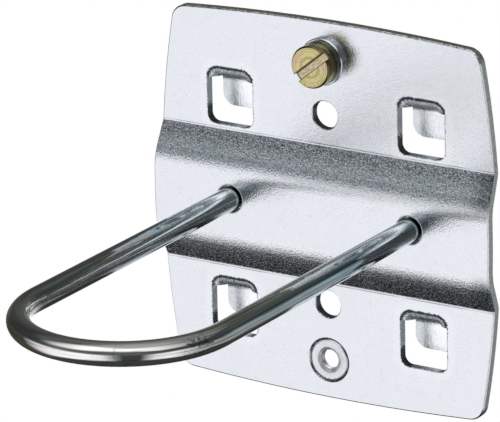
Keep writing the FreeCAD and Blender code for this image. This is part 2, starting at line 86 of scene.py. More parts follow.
# The screw's turns are a sleeve on its shank: how far it stands proud of the point and is sunk elsewhere
SLEEVE_PROUD = 0.01 * MM
SLEEVE_SUNK = 0.02 * MM
SLEEVE_START_SUNK = 0.03 * MM
SLEEVE_END_SUNK = 0.1 * MM
SLEEVE_END_SHORT = 0.01 * MM

# Threaded pieces: the steps of a full turn, those along the bore and the shank, and where edges show
TURN_STEPS = 120
BORE_STEPS = 64
SHANK_STEPS = 72
EDGE_ANGLE = math.radians(32)


def middle_z(node):
    """Height of a node's middle, which for a turned part is its axis."""
    low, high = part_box(node)
    return (low.z + high.z) / 2


UPPER_Z = middle_z("upper_press_nut")
LOWER_Z = middle_z("lower_press_nut")

# The range in which most of a noise's values lie
MOST = (0.3, 0.7)

# Noises of the materials: scale per metre, detail and roughness
NOISES = {
    "grain": (3300.0, 3.0, 0.62),
    "plate_fine": (5600.0, 2.0, 0.5),
    "plate_mottle": (620.0, 3.0, 0.6),
    "clouds": (130.0, 4.0, 0.6),
    "crease_shade_breaks": (160.0, 2.0, 0.5),
    "drawn": (3400.0, 3.0, 0.65),
    "hair": (7500.0, 2.0, 0.6),
    "leg_painted_reflections": (1700.0, 2.0, 0.5),
    "stains": (240.0, 4.0, 0.6),
    "wire_fine": (3000.0, 2.0, 0.5),
    "rubs": (150.0, 2.0, 0.5),
    "pits": (2300.0, 3.0, 0.7),
    "patch_edge": (1500.0, 3.0, 0.7),
    "face_rings": (5200.0, 2.0, 0.6),
    "flank_rings": (3400.0, 2.0, 0.6),
    "strokes": (3600.0, 3.0, 0.6),
    "drift": (420.0, 2.0, 0.5),
    "screw_fine": (4200.0, 2.0, 0.5),
    "spring_mottle": (1200.0, 3.0, 0.6),
    "turned_rings": (8000.0, 2.0, 0.6),
    "turned_mottle": (900.0, 3.0, 0.6),
}


# Small helpers for shader trees

def rgb(red, green, blue):
    return (red, green, blue, 1.0)


def grey(level, blue=0.0):
    """A grey, with some blue added."""
    return rgb(level, level, level + blue)


WHITE = grey(1.0)


class Tree:
    """A node tree with short calls for the nodes that the materials use."""

    def __init__(self, owner):
        owner.use_nodes = True
        self.tree = owner.node_tree
        self.tree.nodes.clear()

    def add(self, kind, **settings):
        node = self.tree.nodes.new(kind)
        for name, value in settings.items():
            setattr(node, name, value)
        return node

    def feed(self, socket, value):
        """Link a socket to another node's output, or set its value."""
        if isinstance(value, bpy.types.NodeSocket):
            self.tree.links.new(value, socket)
        else:
            socket.default_value = value

    def math(self, operation, first, second=0.0, third=0.0):
        node = self.add("ShaderNodeMath", operation=operation)
        for socket, value in zip(node.inputs, (first, second, third)):
            self.feed(socket, value)
        return node.outputs[0]

    def plus(self, first, second):
        return self.math("ADD", first, second)

    def minus(self, first, second):
        return self.math("SUBTRACT", first, second)

    def times(self, first, second):
        return self.math("MULTIPLY", first, second)

    def larger(self, first, second):
        return self.math("MAXIMUM", first, second)

    def size(self, value):
        """A value without its sign."""
        return self.math("ABSOLUTE", value)

    def length(self, first, second):
        squares = self.plus(self.times(first, first), self.times(second, second))
        return self.math("SQRT", squares)

    def vector(self, x, y, z):
        node = self.add("ShaderNodeCombineXYZ")
        for socket, value in zip(node.inputs, (x, y, z)):
            self.feed(socket, value)
        return node.outputs[0]

    def parts(self, vector):
        node = self.add("ShaderNodeSeparateXYZ")
        self.feed(node.inputs[0], vector)
        return node.outputs

    def place(self):
        return self.add("ShaderNodeTexCoord").outputs["Object"]

    def facing(self):
        """The three parts of the surface's normal."""
        return self.parts(self.add("ShaderNodeNewGeometry").outputs["Normal"])

    def noise(self, vector, kind):
        """One of the noises in the table above."""
        node = self.add("ShaderNodeTexNoise")
        self.feed(node.inputs["Vector"], vector)
        for name, number in zip(("Scale", "Detail", "Roughness"), NOISES[kind]):
            node.inputs[name].default_value = number
        return node.outputs["Fac"]

    def span(self, value, low, high, to_low=0.0, to_high=1.0, smooth=True):
        """Map a value from one range to another and hold it there. By default this makes a mask."""
        node = self.add("ShaderNodeMapRange", clamp=True)
        node.interpolation_type = "SMOOTHSTEP" if smooth else "LINEAR"
        self.feed(node.inputs["Value"], value)
        for name, number in zip(("From Min", "From Max", "To Min", "To Max"), (low, high, to_low, to_high)):
            node.inputs[name].default_value = number
        return node.outputs["Result"]

    def frayed(self, value, noise, reach):
        """A distance made uneven by a noise, by up to reach either way."""
        return self.plus(value, self.span(noise, *MOST, -reach, reach, smooth=False))

    def mix(self, share, first, second):
        """A colour between two colours."""
        node = self.add("ShaderNodeMix", data_type="RGBA")
        self.feed(node.inputs[0], share)
        self.feed(node.inputs[6], first)
        self.feed(node.inputs[7], second)
        return node.outputs[2]

    def ramp(self, value, stops):
        node = self.add("ShaderNodeValToRGB")
        self.feed(node.inputs[0], value)
        elements = node.color_ramp.elements
        while len(elements) < len(stops):
            elements.new(0.5)
        for element, (position, colour) in zip(elements, stops):
            element.position = position
            element.color = colour
        return node.outputs[0]

    def bump(self, height, distance, strength, normal=None):
        node = self.add("ShaderNodeBump")
        self.feed(node.inputs["Strength"], strength)
        node.inputs["Distance"].default_value = distance
        self.feed(node.inputs["Height"], height)
        if normal is not None:
            self.feed(node.inputs["Normal"], normal)
        return node.outputs[0]

    def metal(self, colour, roughness, normal):
        """End the tree with a metal surface."""
        node = self.add("ShaderNodeBsdfPrincipled")
        node.inputs["Metallic"].default_value = 1.0
        self.feed(node.inputs["Base Color"], colour)
        self.feed(node.inputs["Roughness"], roughness)
        self.feed(node.inputs["Normal"], normal)
        self.finish("ShaderNodeOutputMaterial", node)

    def finish(self, kind, node):
        """Link a shader to the tree's output."""
        out = self.add(kind)
        self.feed(out.inputs["Surface"], node.outputs[0])


def new_material(name):
    made = bpy.data.materials.new(name)
    return made, Tree(made)


def dress(name, material):
    """Give a CAD node's object one material in all of its slots."""
    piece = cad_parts[name]
    if not piece.material_slots:
        piece.data.materials.append(material)
    for held in piece.material_slots:
        held.material = material


# The plate. Each zone below is a pair for Tree.span: where its mask is absent and where it is full

SHEARED_FACING = (0.55, 0.25)
BENT_FACING = (0.05, 0.36)
FRONT_FACING = (-0.5, -0.8)
SLOPES = (8.2 * MM, 11.6 * MM)
LOWER_SLOPE = (-8.0 * MM, -11.0 * MM)
RIGHT_END = (28.5 * MM, 32.0 * MM)
CREASE_LINE = (0.14 * MM, 0.05 * MM)
HALO_FROM = (0.1 * MM, 0.3 * MM)
HALO_TO = (1.9 * MM, 0.9 * MM)
ARCH_EDGE = (0.15 * MM, 0.03 * MM)
ARCH_START = (ARCH_LEVEL - 0.2 * MM, ARCH_LEVEL)
ARCH_DEPTH = (-1.3 * MM, -0.1 * MM)
EDGE_SHADE = (0.14 * MM, 0.05 * MM)
LIP_Y = (0.6 * MM, 1.3 * MM)
PLATE_SIDES = (26.0 * MM, 27.0 * MM)
PLATE_ENDS = (30.0 * MM, 30.5 * MM)
CORNER_SHADE_LEVEL = (-1.5 * MM, -2.3 * MM)
CORNER_SHADE_SIDE = (2.2 * MM, 3.4 * MM)
CORNER_SHADE_REACH = (0.6 * MM, 0.3 * MM)
PLAIN_HOLE_WALL = (2.9 * MM, 2.7 * MM)
WIRE_HOLE_WALL = (2.8 * MM, 2.65 * MM)
WIRE_HOLE_RIM = (2.85 * MM, 2.72 * MM)
NUT_JOINT_SHADE = (NUT_SHANK_R + 0.18 * MM, NUT_SHANK_R + 0.06 * MM)


def flat_zinc(t, place, grain, fine, clouds):
    """The flats: soft clouds with dull spots, dark specks and bright points."""
    colour = t.ramp(clouds, [
        (0.3, rgb(0.765, 0.785, 0.815)),
        (0.55, rgb(0.80, 0.815, 0.845)),
        (0.8, rgb(0.78, 0.80, 0.825)),
    ])
    dull = t.span(t.noise(place, "plate_mottle"), 0.52, 0.72, 0.0, 0.35)
    colour = t.mix(dull, colour, rgb(0.70, 0.71, 0.73))
    specks = t.times(t.span(grain, 0.50, 0.68), t.span(clouds, 0.38, 0.62, 0.15, 0.6))
    colour = t.mix(specks, colour, rgb(0.66, 0.68, 0.71))
    bright = t.span(fine, 0.42, 0.30, 0.0, 0.4)
    return t.mix(bright, colour, rgb(0.90, 0.91, 0.93))


def bent_zone_shading(t, x, z, from_rib, grain):
    """The bent zones: grain with a painted sheen on the rib's nose, and painted shade on its slopes,
    darkest low and at the right.
    """
    nose = t.ramp(grain, [(0.34, rgb(0.52, 0.56, 0.58)), (0.5, rgb(0.95, 0.98, 1.0)), (0.62, WHITE)])
    slope_painted_shade = t.ramp(grain, [(0.36, rgb(0.13, 0.14, 0.15)), (0.5, rgb(0.56, 0.60, 0.63)), (0.64, WHITE)])
    low = t.ramp(grain, [
        (0.40, rgb(0.05, 0.055, 0.06)),
        (0.56, rgb(0.28, 0.31, 0.33)),
        (0.68, rgb(0.9, 0.92, 0.94)),
    ])
    end = t.ramp(grain, [(0.40, rgb(0.03, 0.035, 0.04)), (0.62, rgb(0.45, 0.48, 0.50))])
    # Painted shade darkens the slopes, most of all the lower one and at the right end
    colour = t.mix(t.span(from_rib, *SLOPES), nose, slope_painted_shade)
    colour = t.mix(t.span(z, *LOWER_SLOPE, 0.0, 0.8), colour, low)
    return t.mix(t.span(x, *RIGHT_END, 0.0, 0.65), colour, end)


def outside_corner(t, over, rise, radius):
    """How far a point lies outside a round corner, from its place past the arc's centre both ways."""
    return t.minus(t.length(t.larger(over, 0.0), t.larger(rise, 0.0)), radius)


def window_place(t, x, z):
    """Where a point is from the nearest window's middle, sideways and upwards, and how far outside it."""
    half = PANEL_PITCH / 2
    across = t.size(t.minus(t.math("FLOORED_MODULO", x, PANEL_PITCH), half))
    along = t.minus(t.math("FLOORED_MODULO", t.minus(z, WINDOW_MIDDLE), PANEL_PITCH), half)
    arch = outside_corner(t, t.minus(across, ARCH_SIDE), t.minus(along, ARCH_LEVEL), ARCH_R)
    foot = outside_corner(t, t.minus(across, FOOT_SIDE), t.minus(-FOOT_LEVEL, along), FOOT_R)
    return across, along, t.larger(arch, foot)


def window_edges(t, colour, grain, window):
    """Add painted light in a pale zone round each window, painted light and shade down its arch, and a
    ragged dark line of painted shade at its edge.
    """
    _, along, outside = window
    # Painted light: a pale zone just outside each window
    halo = t.times(t.span(outside, *HALO_FROM), t.span(outside, *HALO_TO))
    colour = t.mix(t.times(halo, 0.35), colour, rgb(0.87, 0.885, 0.905))
    ragged = t.frayed(outside, grain, 0.2 * MM)
    on_arch = t.times(t.span(ragged, *ARCH_EDGE), t.span(along, *ARCH_START))
    # Painted light and shade on each window's arch: dark at its outer edge, pale deeper in
    arch_painted_shading = t.ramp(t.span(ragged, *ARCH_DEPTH, smooth=False), [
        (0.0, WHITE),
        (0.4, rgb(0.90, 0.95, 0.97)),
        (0.55, rgb(0.46, 0.54, 0.57)),
        (0.68, rgb(0.34, 0.40, 0.42)),
        (0.80, rgb(0.04, 0.045, 0.05)),
        (1.0, rgb(0.03, 0.033, 0.035)),
    ])
    colour = t.mix(on_arch, colour, arch_painted_shading)
    # Painted shade: a ragged dark line along each window's edge
    edge_shade = t.times(t.span(t.size(ragged), *EDGE_SHADE), 0.9)
    return t.mix(edge_shade, colour, rgb(0.07, 0.08, 0.085)), on_arch


def sheared_walls(t, x, z, grain, fine, window, eye):
    """The cut edges: bright, olive round the plate, and darkened by painted shade in round holes and the
    windows' lower corners.
    """
    across, along, outside = window
    colour = t.ramp(grain, [(0.3, rgb(0.80, 0.89, 0.95)), (0.7, WHITE)])
    round_plate = t.larger(t.span(t.size(x), *PLATE_SIDES), t.span(t.size(z), *PLATE_ENDS))
    colour = t.mix(round_plate, colour, t.ramp(grain, [
        (0.34, rgb(0.50, 0.46, 0.39)),
        (0.52, rgb(0.82, 0.76, 0.67)),
        (0.68, rgb(1.0, 0.95, 0.87)),
    ]))
    # Painted shade in the windows' lower corners and in the round holes
    level = t.frayed(along, grain, 0.8 * MM)
    corner = t.times(t.span(level, *CORNER_SHADE_LEVEL), t.span(across, *CORNER_SHADE_SIDE))
    corner = t.times(corner, t.span(outside, *CORNER_SHADE_REACH))
    bore = t.length(x, t.minus(t.size(z), PLAIN_HOLE_Z))
    recess_shade = t.larger(corner, t.times(t.span(bore, *PLAIN_HOLE_WALL), 0.9))
    recess_shade = t.larger(recess_shade, t.span(eye, *WIRE_HOLE_WALL))
    return t.mix(recess_shade, colour, t.ramp(fine, [(0.4, rgb(0.03, 0.03, 0.03)), (0.65, rgb(0.16, 0.14, 0.12))]))


def plate_material():
    """Satin bright zinc on pressed sheet."""
    made, t = new_material("plate_zinc_grained")
    place = t.place()
    x, y, z = t.parts(place)
    facing = t.facing()
    sheared = t.span(t.size(facing[1]), *SHEARED_FACING)
    bent = t.span(t.size(facing[2]), *BENT_FACING)
    grain = t.noise(place, "grain")
    fine = t.noise(place, "plate_fine")
    clouds = t.noise(place, "clouds")
    from_rib = t.size(t.minus(z, RIB_Z))
    clean = flat_zinc(t, place, grain, fine, clouds)
    colour = t.mix(bent, clean, bent_zone_shading(t, x, z, from_rib, grain))

    # Painted shade runs in an uneven dark line along each crease of the rib
    line = t.span(t.size(t.minus(from_rib, CREASE)), *CREASE_LINE)
    uneven_shade = t.span(t.noise(t.vector(x, y, 0.0), "crease_shade_breaks"), 0.35, 0.6, 0.3, 0.9)
    colour = t.mix(t.times(line, uneven_shade), colour, rgb(0.30, 0.31, 0.32))

    window = window_place(t, x, z)
    colour, on_arch = window_edges(t, colour, grain, window)

    # The tabs' lips hang behind the plate, and painted light makes them pale
    lips = t.times(t.span(y, *LIP_Y), t.span(facing[1], *FRONT_FACING))
    smooth = t.ramp(clouds, [(0.35, rgb(0.90, 0.94, 0.96)), (0.6, rgb(0.99, 1.0, 1.0))])
    colour = t.mix(lips, colour, smooth)

    # Painted light makes a bright ring round the wire holes, and painted shade a dark ring in the joint
    # round the lower nut
    eye = t.length(t.minus(t.size(x), WIRE_X), z)
    painted_rim = t.times(t.span(eye, *WIRE_HOLE_RIM), t.minus(1.0, sheared))
    colour = t.mix(painted_rim, colour, rgb(0.96, 0.97, 0.98))
    from_nut = t.frayed(t.length(x, t.minus(z, LOWER_Z)), grain, 0.12 * MM)
    nut_joint_shade = t.times(t.span(from_nut, *NUT_JOINT_SHADE), 0.85)
    colour = t.mix(nut_joint_shade, colour, rgb(0.10, 0.11, 0.115))

    colour = t.mix(sheared, colour, sheared_walls(t, x, z, grain, fine, window, eye))
    rough = t.span(clouds, *MOST, 0.08, 0.12)
    for zone, added in ((sheared, 0.25), (on_arch, 0.2), (painted_rim, 0.45)):
        rough = t.plus(rough, t.times(zone, added))
    rough = t.plus(rough, t.span(grain, 0.36, 0.64, -0.07, 0.07))
    surface = t.bump(grain, 0.06 * MM, t.math("MULTIPLY_ADD", bent, 0.35, 0.65))
    t.metal(colour, rough, t.bump(fine, 0.02 * MM, 0.5, surface))
    return made


# The wire, with zones along its legs and bend as pairs for Tree.span

LEGS_Y = (-62.0 * MM, -45.0 * MM)
BENDING_Y = (-24.0 * MM, -62.0 * MM)
RUBBED_Y = (-55.0 * MM, -66.0 * MM)
FRONT_HIGHLIGHT_Y = (-66.0 * MM, -75.5 * MM)
RIGHT_BEND_X = (-6.0 * MM, 12.0 * MM)

# The drawn lines are long because their noise sees only this share of a length along the wire
ALONG_SHARE = 0.012

# A dark patch on the bend: its place, its edge, and factors that make it long and low
PATCH = (18.3 * MM, -70.4 * MM, 0.9 * MM)
PATCH_EDGE = (1.5 * MM, 0.7 * MM)
PATCH_LONG = 0.55
PATCH_LOW = 2.4


def drawn_zinc(t, y, lines, drawn, stains):
    """Stained zinc with dark and light drawn lines, and broad light and dark streaks on the legs as painted
    reflections.
    """
    colour = t.ramp(stains, [
        (0.28, rgb(0.56, 0.67, 0.70)),
        (0.5, rgb(0.67, 0.76, 0.785)),
        (0.75, rgb(0.77, 0.83, 0.85)),
    ])
    colour = t.mix(t.span(drawn, 0.51, 0.62, 0.0, 0.75), colour, rgb(0.22, 0.26, 0.28))
    hair = t.noise(lines, "hair")
    colour = t.mix(t.span(hair, 0.56, 0.68, 0.0, 0.6), colour, rgb(0.20, 0.23, 0.24))
    colour = t.mix(t.span(drawn, 0.45, 0.35, 0.0, 0.9), colour, rgb(0.96, 0.99, 1.0))
    # Painted reflections: broad light and dark streaks along the legs
    leg_painted_reflections = t.noise(lines, "leg_painted_reflections")
    legs = t.span(y, *LEGS_Y)
    colour = t.mix(t.times(t.span(leg_painted_reflections, 0.54, 0.62, 0.0, 0.65), legs), colour, rgb(0.97, 1.0, 1.0))
    return t.mix(t.times(t.span(leg_painted_reflections, 0.46, 0.39, 0.0, 0.6), legs), colour, rgb(0.27, 0.32, 0.34))


def bend_zinc(t, colour, x, y, drawn):
    """Paint shade on the wire towards its bend, darker and warmer there, with painted light and shade on
    the bend's right part and a painted highlight at its front.
    """
    # Painted shade towards the bend
    shaded = t.ramp(drawn, [(0.4, rgb(0.62, 0.58, 0.51)), (0.6, rgb(0.36, 0.34, 0.30))])
    right_bend_painted_shading = t.ramp(drawn, [
        (0.38, rgb(1.0, 0.92, 0.79)),
        (0.5, rgb(0.76, 0.69, 0.59)),
        (0.62, rgb(0.40, 0.37, 0.32)),
    ])
    shaded = t.mix(t.span(x, *RIGHT_BEND_X), shaded, right_bend_painted_shading)
    colour = t.mix(t.times(t.span(y, *BENDING_Y), 0.85), colour, shaded)
    # Painted highlight: the bend's front is made almost white
    front_painted_highlight = t.times(t.span(y, *FRONT_HIGHLIGHT_Y), t.span(drawn, 0.62, 0.50, 0.35, 0.85))
    return t.mix(front_painted_highlight, colour, rgb(0.95, 0.935, 0.90))


def wire_material():
    """Glossy bright zinc on drawn wire, with fine lines that follow the wire round its bend."""
    made, t = new_material("wire_zinc_drawn")
    place = t.place()
    x, y, z = t.parts(place)
    past_bend = t.math("MINIMUM", t.plus(y, BEND_Y), 0.0)
    lines = t.vector(t.length(x, past_bend), z, t.times(t.plus(x, y), ALONG_SHARE))
    drawn = t.noise(lines, "drawn")
    stains = t.noise(place, "stains")
    fine = t.noise(place, "wire_fine")
    colour = drawn_zinc(t, y, lines, drawn, stains)
    colour = bend_zinc(t, colour, x, y, drawn)

    # The bending tool left pits, and one dark patch is painted on the bend
    rubbed = t.times(t.span(t.noise(place, "rubs"), 0.50, 0.66), t.span(y, *RUBBED_Y))
    pits = t.times(t.span(t.noise(place, "pits"), 0.54, 0.62), rubbed)
    colour = t.mix(t.times(pits, 0.75), colour, rgb(0.16, 0.16, 0.15))
    aside = t.length(t.minus(x, PATCH[0]), t.minus(y, PATCH[1]))
    from_patch = t.length(t.times(aside, PATCH_LONG), t.times(t.minus(z, PATCH[2]), PATCH_LOW))
    from_patch = t.frayed(from_patch, t.noise(place, "patch_edge"), 1.5 * MM)
    patch = t.span(from_patch, *PATCH_EDGE)
    dark = t.ramp(fine, [(0.45, rgb(0.06, 0.055, 0.05)), (0.62, rgb(0.34, 0.28, 0.23))])
    colour = t.mix(t.times(patch, 0.75), colour, dark)

    rough = t.plus(t.span(stains, 0.35, 0.7, 0.02, 0.04), t.span(drawn, 0.4, 0.7, 0.0, 0.025))
    rough = t.plus(rough, t.plus(t.times(rubbed, 0.04), t.times(patch, 0.15)))
    surface = t.bump(drawn, 0.02 * MM, 0.5)
    t.metal(colour, rough, t.bump(fine, 0.01 * MM, 0.2, surface))
    return made


# The screw, the washers and the nuts, with edges as pairs for Tree.span

SCREW_SIDE_FACING = (0.6, 0.3)
SLOT_FLOOR = (SLOT_HALF, SLOT_HALF - 0.1 * MM)
SLOT_LIP = (0.17 * MM, 0.07 * MM)
SCREW_RIM = (0.22 * MM, 0.08 * MM)
NUT_FRONT_FACING = (-0.2, -0.5)
NUT_RIM_R = NUT_SHANK_R - 0.4 * MM
NUT_RIM = (NUT_RIM_R, NUT_RIM_R + 0.12 * MM)
NUT_BORE_R = NUT_MOUTH_R + 0.1 * MM
NUT_BORE = (NUT_BORE_R, NUT_BORE_R - 0.1 * MM)

# Roughness of the turned zinc where its mottle is low and high
WASHER_ROUGHNESS = (0.14, 0.24)
NUT_ROUGHNESS = (0.20, 0.30)


def screw_material():
    """Yellow passivated zinc with turning rings, in tints that drift from green to gold and rose."""
    made, t = new_material("screw_yellow_zinc")
    place = t.place()
    x, y, z = t.parts(place)
    up = t.minus(z, UPPER_Z)
    radius = t.length(x, up)
    rings = t.noise(t.vector(radius, t.times(y, 1.2), 0.0), "face_rings")
    fine = t.noise(place, "screw_fine")
    tint = t.ramp(t.noise(place, "drift"), [
        (0.3, rgb(0.52, 0.54, 0.24)),
        (0.42, rgb(0.62, 0.55, 0.25)),
        (0.6, rgb(0.68, 0.56, 0.28)),
        (0.75, rgb(0.64, 0.47, 0.33)),
    ])
    tint = t.mix(t.span(rings, 0.50, 0.68, 0.0, 0.75), tint, rgb(0.25, 0.22, 0.08))
    tint = t.mix(t.span(fine, 0.54, 0.70, 0.0, 0.8), tint, rgb(0.24, 0.20, 0.08))

    # The cutter left strokes along the slot's floor, and painted shade darkens the slot's two lips
    cosine, sine = math.cos(SLOT_ANGLE), math.sin(SLOT_ANGLE)
    across = t.minus(t.times(up, cosine), t.times(x, sine))
    along = t.plus(t.times(x, cosine), t.times(up, sine))
    strokes = t.noise(t.vector(across, t.times(along, 0.3), 0.0), "strokes")
    floor_tint = t.ramp(strokes, [(0.35, rgb(0.36, 0.29, 0.16)), (0.62, rgb(0.68, 0.57, 0.42))])
    from_middle = t.size(across)
    tint = t.mix(t.span(from_middle, *SLOT_FLOOR), tint, floor_tint)
    # Painted shade: dark lines along the slot's lips and round the head's edge
    lips = t.span(t.size(t.minus(from_middle, SLOT_HALF)), *SLOT_LIP)
    painted_rim = t.span(t.size(t.minus(radius, SCREW_RIM_R)), *SCREW_RIM)
    colour = t.mix(t.larger(lips, t.times(painted_rim, 0.85)), tint, rgb(0.09, 0.075, 0.03))

    # The head's sides carry turning rings in a colour darker than the face, as painted shade
    turned = t.noise(t.vector(y, t.times(x, 0.15), 0.0), "flank_rings")
    flank = t.ramp(turned, [
        (0.35, rgb(0.05, 0.045, 0.02)),
        (0.5, rgb(0.30, 0.26, 0.11)),
        (0.62, rgb(0.62, 0.55, 0.28)),
    ])
    colour = t.mix(t.span(t.size(t.facing()[1]), *SCREW_SIDE_FACING), colour, flank)
    surface = t.bump(rings, 0.02 * MM, 0.5)
    t.metal(colour, t.span(rings, *MOST, 0.20, 0.32), t.bump(fine, 0.02 * MM, 0.4, surface))
    return made


def spring_material():
    """Dark, lightly oiled spring steel."""
    made, t = new_material("spring_steel_dark")
    mottle = t.noise(t.place(), "spring_mottle")
    colour = t.ramp(mottle, [(0.3, rgb(0.10, 0.11, 0.08)), (0.7, rgb(0.30, 0.31, 0.23))])
    t.metal(colour, t.span(mottle, *MOST, 0.22, 0.38), t.bump(mottle, 0.02 * MM, 0.4))
    return made


def turned_material(name, axis_z, roughness, open_bore=False):
    """Bright zinc on a turned part, with fine rings round its axis, and a dark ring of painted shade on an
    open nut's face.
    """
    made, t = new_material(name)
    place = t.place()
    x, y, z = t.parts(place)
    up = t.minus(z, axis_z)
    radius = t.length(x, up)
    rings = t.noise(t.vector(radius, t.times(y, 0.6), 0.0), "turned_rings")
    mottle = t.noise(place, "turned_mottle")
    colour = t.ramp(mottle, [(0.3, rgb(0.66, 0.67, 0.70)), (0.7, rgb(0.82, 0.83, 0.87))])
    rough = t.plus(t.span(mottle, *MOST, *roughness), t.span(rings, 0.4, 0.7, 0.0, 0.05))
    if open_bore:
        # Painted shade darkens the rim, most to the lower left, and the bore is paler than the face
        grain = t.noise(place, "grain")
        lower_left = t.span(t.math("DIVIDE", t.plus(x, up), radius), 1.0, -0.6, 0.25, 0.95)
        front = t.span(t.facing()[1], *NUT_FRONT_FACING)
        painted_rim = t.times(t.span(t.frayed(radius, grain, 0.15 * MM), *NUT_RIM), t.times(lower_left, front))
        uneven_shade = t.ramp(grain, [(0.4, rgb(0.05, 0.055, 0.06)), (0.7, rgb(0.30, 0.32, 0.34))])
        colour = t.mix(painted_rim, colour, uneven_shade)
        bore = t.span(radius, *NUT_BORE)
        colour = t.mix(bore, colour, rgb(0.97, 0.97, 0.98))
        rough = t.plus(rough, t.times(bore, 0.06))
    surface = t.bump(rings, 0.01 * MM, 0.4)
    t.metal(colour, rough, t.bump(mottle, 0.01 * MM, 0.3, surface))
    return made


# Pieces that the scene adds

def thread_lift(depth, turn):
    """Height of the thread, 0 to 1, at a depth along the axis and an angle round it."""
    phase = (depth / THREAD_PITCH + turn / (2 * math.pi)) % 1.0
    flank = abs(phase - 0.5) * 2
    return min(1.0, max(0.0, (flank - THREAD_FLAT) / (1 - 2 * THREAD_FLAT)))


def turned_mesh(name, rings, axis_z):
    """A mesh round an axis along Y.

    rings gives, for each angle, the (radius, y) points of a closed profile.
    """
    steps = len(rings)
    count = len(rings[0])
    points = []
    for step, ring in enumerate(rings):
        angle = 2 * math.pi * step / steps
        for radius, y in ring:
            points.append((radius * math.cos(angle), y, axis_z + radius * math.sin(angle)))
    faces = []
    for step in range(steps):
        here = step * count
        after = ((step + 1) % steps) * count
        for index in range(count):
            following = (index + 1) % count
            faces.append((here + index, after + index, after + following, here + following))
    mesh = bpy.data.meshes.new(name)
    mesh.from_pydata(points, [], faces)
    mesh.validate()
    mesh.polygons.foreach_set("use_smooth", [True] * len(mesh.polygons))
    mesh.set_sharp_from_angle(angle=EDGE_ANGLE)
    piece = bpy.data.objects.new(name, mesh)
    scene.collection.objects.link(piece)
    return piece


def threaded_nut(name, axis_z, node, material):
    """The press nut with its real thread: the CAD bush with turns cut into its bore."""
    depth_all = -FRONT_Y
    shell = [
        (NUT_CORE_R + NUT_BEVEL, 0.0),
        (NUT_FLANGE_R, 0.0),
        (NUT_FLANGE_R, NUT_FLANGE_T),
        (NUT_SHANK_R, NUT_FLANGE_T),
        (NUT_SHANK_R, depth_all - NUT_BEVEL),
        (NUT_SHANK_R - NUT_BEVEL, depth_all),
        (NUT_MOUTH_R, depth_all),
    ]
    rings = []
    for step in range(TURN_STEPS):
        turn = 2 * math.pi * step / TURN_STEPS
        ring = [(radius, -depth) for radius, depth in shell]
        for index in range(1, BORE_STEPS):
            depth = depth_all * (1 - index / BORE_STEPS)
            in_mouth = depth - depth_all + NUT_MOUTH_DEPTH
            mouth = NUT_CORE_R + (NUT_MOUTH_R - NUT_CORE_R) * in_mouth / NUT_MOUTH_DEPTH
            back = NUT_CORE_R + NUT_BEVEL - depth
            cut = NUT_CORE_R + THREAD_HEIGHT * thread_lift(depth, turn)
            ring.append((max(mouth, back, cut), -depth))
        rings.append(ring)
    piece = turned_mesh(name, rings, axis_z)
    piece.data.materials.append(material)
    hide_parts(node)
    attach(piece, "root")


def screw_thread(material):
    """The turns on the screw's shank, which run in those of the upper press nut."""
    tip_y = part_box("locking_screw")[1].y
    tip_r = SCREW_CORE_R - SCREW_POINT
    start_y = FRONT_Y + NUT_MOUTH_DEPTH
    rings = []
    for step in range(TURN_STEPS):
        turn = 2 * math.pi * step / TURN_STEPS
        ring = [(SCREW_CORE_R - SLEEVE_START_SUNK, start_y)]
        for index in range(SHANK_STEPS + 1):
            y = start_y + (tip_y - start_y) * index / SHANK_STEPS
            crest = SCREW_CORE_R + THREAD_HEIGHT * thread_lift(-y, turn)
            point = tip_r + (tip_y - y)
            inner = min(SCREW_CORE_R, point) - SLEEVE_SUNK
            ring.append((max(min(crest, point + SLEEVE_PROUD), inner), y))
        ring.append((tip_r - SLEEVE_END_SUNK, tip_y - SLEEVE_END_SHORT))
        rings.append(ring)
    piece = turned_mesh("screw_thread", rings, UPPER_Z)
    piece.data.materials.append(material)
    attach(piece, "root")


# Stage

# The camera, fitted to the photograph: degrees, then metres, then pixels
CAMERA_ANGLES = (32.421, 18.425, -1.285)
CAMERA_TARGET = Vector((-16.45, 0.0, -3.2)) * MM
CAMERA_DISTANCE = 0.975
FOCAL_PX = 5643.9
WIDTH_PX = 500.0

FLOOR_REACH = 12.0
FLOOR_Z = -75.0 * MM


def make_camera():
    """Stands where the photograph was taken from."""
    azimuth, elevation, roll = (math.radians(angle) for angle in CAMERA_ANGLES)
    level = math.cos(elevation)
    back = Vector((math.sin(azimuth) * level, -math.cos(azimuth) * level, math.sin(elevation)))
    right = Vector((math.cos(azimuth), math.sin(azimuth), 0.0))
    up = back.cross(right)
    level_right = math.cos(roll) * right + math.sin(roll) * up
    level_up = math.cos(roll) * up - math.sin(roll) * right
    data = bpy.data.cameras.new("camera")
    data.sensor_width = 36.0
    data.lens = FOCAL_PX / WIDTH_PX * data.sensor_width
    data.clip_start = 0.05
    data.clip_end = 30.0
    camera = bpy.data.objects.new("camera", data)
    turned = Matrix((level_right, level_up, back)).transposed().to_4x4()
    camera.matrix_world = Matrix.Translation(CAMERA_TARGET + back * CAMERA_DISTANCE) @ turned
    scene.collection.objects.link(camera)
    scene.camera = camera


